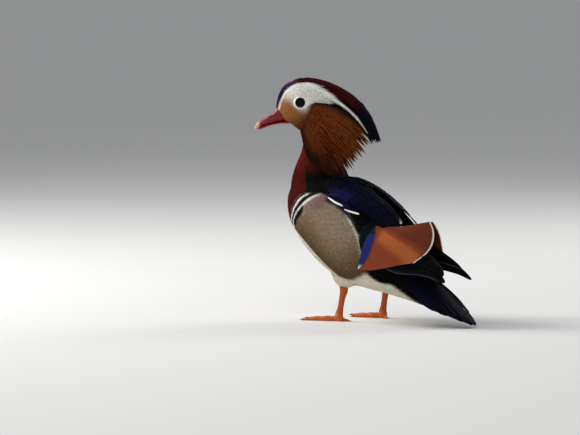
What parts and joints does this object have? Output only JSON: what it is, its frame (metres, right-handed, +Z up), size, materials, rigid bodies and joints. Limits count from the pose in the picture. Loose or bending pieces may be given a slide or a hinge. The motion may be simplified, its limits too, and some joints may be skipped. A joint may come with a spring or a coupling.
{
  "type": "mandarin duck",
  "caption": "Life-size model of a male mandarin duck standing with its head turned to its left, crest, cheek hackles and sail feathers shown, tail tip resting on the floor",
  "frame": {"origin": "on the floor, under the middle of the space that the bird takes up", "axes": "+X is the bird's left, -Y the way its body faces, +Z up"},
  "size_m": [0.108, 0.2537, 0.2532],
  "materials": {
    "body_plumage": "soft matt feather, buff and finely barred on the flanks, white below",
    "chestnut_plumage": "satin feather, maroon",
    "head_plumage": "satin feather, white face, chestnut hackles, purple and maroon crest",
    "bill": "semi-gloss, crimson with a pale nail",
    "eye": "glossy, dark brown",
    "wing_plumage": "satin feather, blue-black with a green and violet sheen",
    "sail_plumage": "satin feather, cinnamon orange with a white margin and a blue outer vane",
    "tail_plumage": "satin feather, dark olive brown with a blue sheen",
    "leg_skin": "scaly skin, orange"
  },
  "bodies": {
    "root": {"torso": "body_plumage", "neck": "chestnut_plumage", "head": "head_plumage", "bill_upper": "bill", "bill_lower": "bill", "eye_left": "eye", "eye_right": "eye", "wing_left": "wing_plumage", "wing_right": "wing_plumage", "sail_left": "sail_plumage", "sail_right": "sail_plumage", "tail": "tail_plumage", "leg_left": "leg_skin", "leg_right": "leg_skin", "foot_left": "leg_skin", "foot_right": "leg_skin"}
  },
  "joints": []
}
